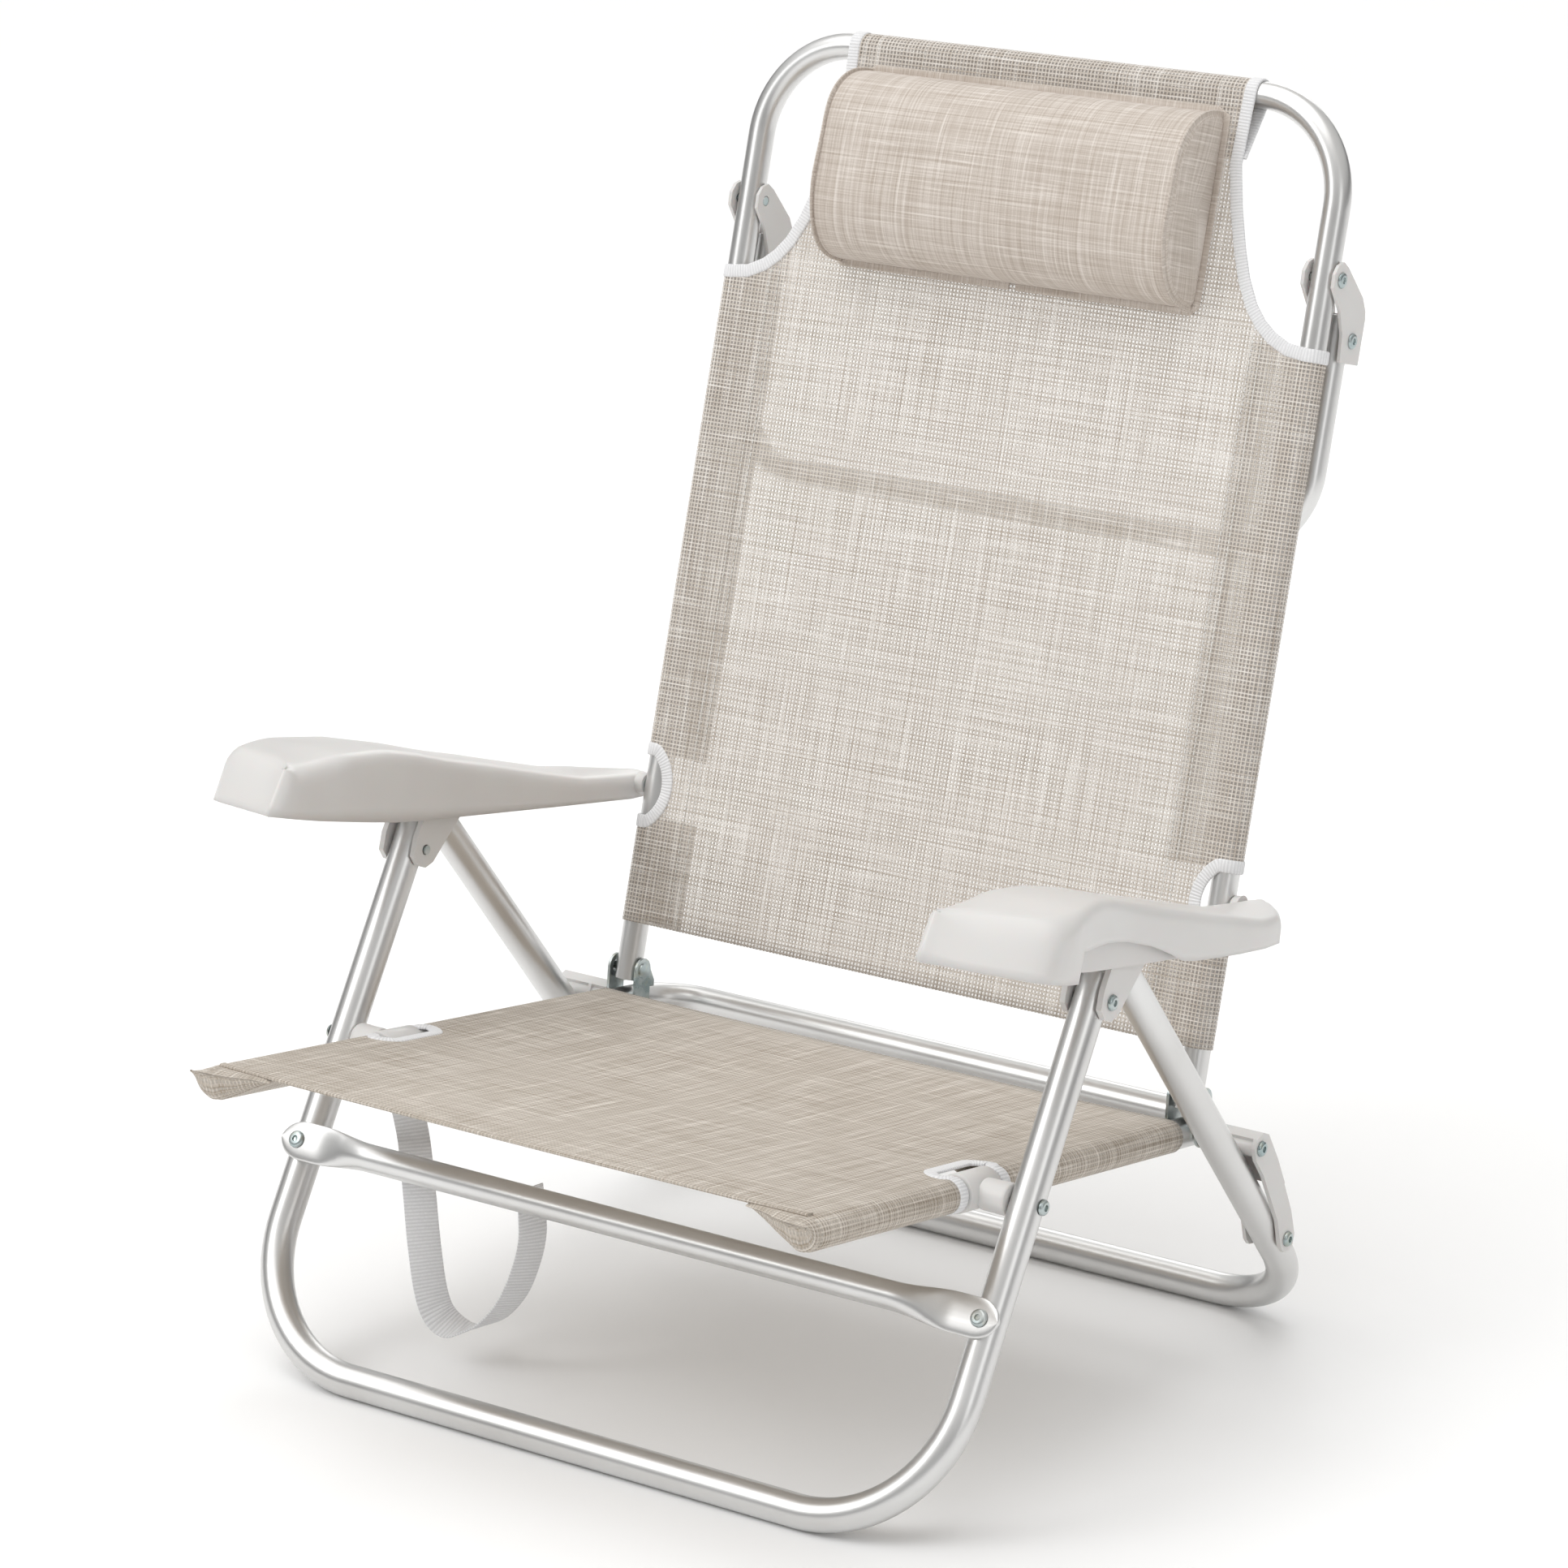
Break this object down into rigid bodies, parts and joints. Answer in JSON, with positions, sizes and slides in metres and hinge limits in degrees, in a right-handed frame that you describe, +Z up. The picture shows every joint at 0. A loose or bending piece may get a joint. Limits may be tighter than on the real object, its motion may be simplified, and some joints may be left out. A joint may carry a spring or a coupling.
{
  "type": "folding beach chair",
  "caption": "Low folding beach chair with aluminium tube frame, woven sling seat and reclining back, white plastic armrests, head pillow, carrying strap and a swing-out rear prop frame.",
  "frame": {"origin": "middle of the footprint, on the floor", "axes": "+X to the right seen from the front, the chair faces -Y, +Z up"},
  "size_m": [0.64, 0.6212, 0.8193],
  "materials": {
    "aluminium_tube": "satin anodised tube",
    "zinc_fittings": "zinc-plated",
    "white_plastic": "smooth, semi-gloss white",
    "sling_fabric": "open mesh weave with pale slub threads",
    "strap_webbing": "flat woven webbing"
  },
  "bodies": {
    "front_legs": {"front_leg_frame": "aluminium_tube", "front_crossbar": "aluminium_tube", "crossbar_screw_left": "zinc_fittings", "crossbar_screw_right": "zinc_fittings", "seat_pivot_bolt_left": "zinc_fittings", "seat_pivot_bolt_right": "zinc_fittings", "carry_strap": "strap_webbing"},
    "rear_legs": {"rear_leg_frame": "aluminium_tube", "leg_clevis_left": "white_plastic", "leg_clevis_right": "white_plastic", "clevis_screw_left": "zinc_fittings", "clevis_screw_right": "zinc_fittings"},
    "links": {"rear_link_left": "white_plastic", "rear_link_right": "white_plastic", "link_high_screw_left": "zinc_fittings", "link_high_screw_right": "zinc_fittings", "link_low_screw_left": "zinc_fittings", "link_low_screw_right": "zinc_fittings"},
    "seat": {"seat_frame": "aluminium_tube", "seat_tube_cap_left": "white_plastic", "seat_tube_cap_right": "white_plastic", "seat_pivot_spacer_left": "white_plastic", "seat_pivot_spacer_right": "white_plastic", "hinge_bracket_left": "zinc_fittings", "hinge_bracket_right": "zinc_fittings", "hinge_rivet_low_left": "zinc_fittings", "hinge_rivet_low_right": "zinc_fittings", "seat_fabric": "sling_fabric"},
    "back_hinges": {"hinge_rivet_high_left": "zinc_fittings", "hinge_rivet_high_right": "zinc_fittings"},
    "back": {"back_frame": "aluminium_tube", "back_fabric": "sling_fabric", "headrest_pillow": "sling_fabric"},
    "stand": {"stand_frame": "aluminium_tube", "stand_bracket_left": "white_plastic", "stand_bracket_right": "white_plastic", "stand_pivot_screw_left": "zinc_fittings", "stand_pivot_screw_right": "zinc_fittings", "stand_tube_screw_left": "zinc_fittings", "stand_tube_screw_right": "zinc_fittings"},
    "arm_pins": {"armrest_pin_left": "zinc_fittings", "armrest_pin_right": "zinc_fittings"},
    "armrests": {"armrest_left": "white_plastic", "armrest_right": "white_plastic"}
  },
  "joints": [
    {"name": "fold", "type": "hinge", "parent": "front_legs", "child": "rear_legs", "pos_m": [0, -0.06714, 0.31193], "axis": [1, 0, 0], "range_deg": [-70, 0]},
    {"name": "seat_fold", "type": "hinge", "parent": "front_legs", "child": "seat", "pos_m": [0, -0.13614, 0.19793], "axis": [1, 0, 0], "range_deg": [-92.56, 0]},
    {"name": "link_fold", "type": "hinge", "parent": "rear_legs", "child": "links", "pos_m": [0, 0.15616, 0.08493], "axis": [1, 0, 0], "range_deg": [-123.83, 0]},
    {"name": "back_fold", "type": "hinge", "parent": "seat", "child": "back_hinges", "pos_m": [0, 0.12226, 0.18193], "axis": [1, 0, 0], "range_deg": [0, 97.19]},
    {"name": "recline", "type": "hinge", "parent": "back_hinges", "child": "back", "pos_m": [0, 0.12226, 0.18193], "axis": [1, 0, 0], "range_deg": [-66, 0]},
    {"name": "stand_swing", "type": "hinge", "parent": "back", "child": "stand", "pos_m": [0, 0.26961, 0.70092], "axis": [1, 0, 0], "range_deg": [0, 95]},
    {"name": "arm_fold", "type": "hinge", "parent": "back", "child": "arm_pins", "pos_m": [0, 0.15733, 0.30545], "axis": [1, 0, 0], "range_deg": [-109.5, 0]},
    {"name": "arm_recline", "type": "hinge", "parent": "arm_pins", "child": "armrests", "pos_m": [0, 0.15733, 0.30545], "axis": [1, 0, 0], "range_deg": [0, 50.16]}
  ],
  "couplings": [
    {"joint": "seat_fold", "follows": "fold", "ratio": 1.3222},
    {"joint": "link_fold", "follows": "fold", "ratio": 1.7691},
    {"joint": "back_fold", "follows": "fold", "ratio": -1.3884},
    {"joint": "arm_fold", "follows": "fold", "ratio": 1.5643},
    {"joint": "arm_recline", "follows": "recline", "ratio": -0.76}
  ]
}
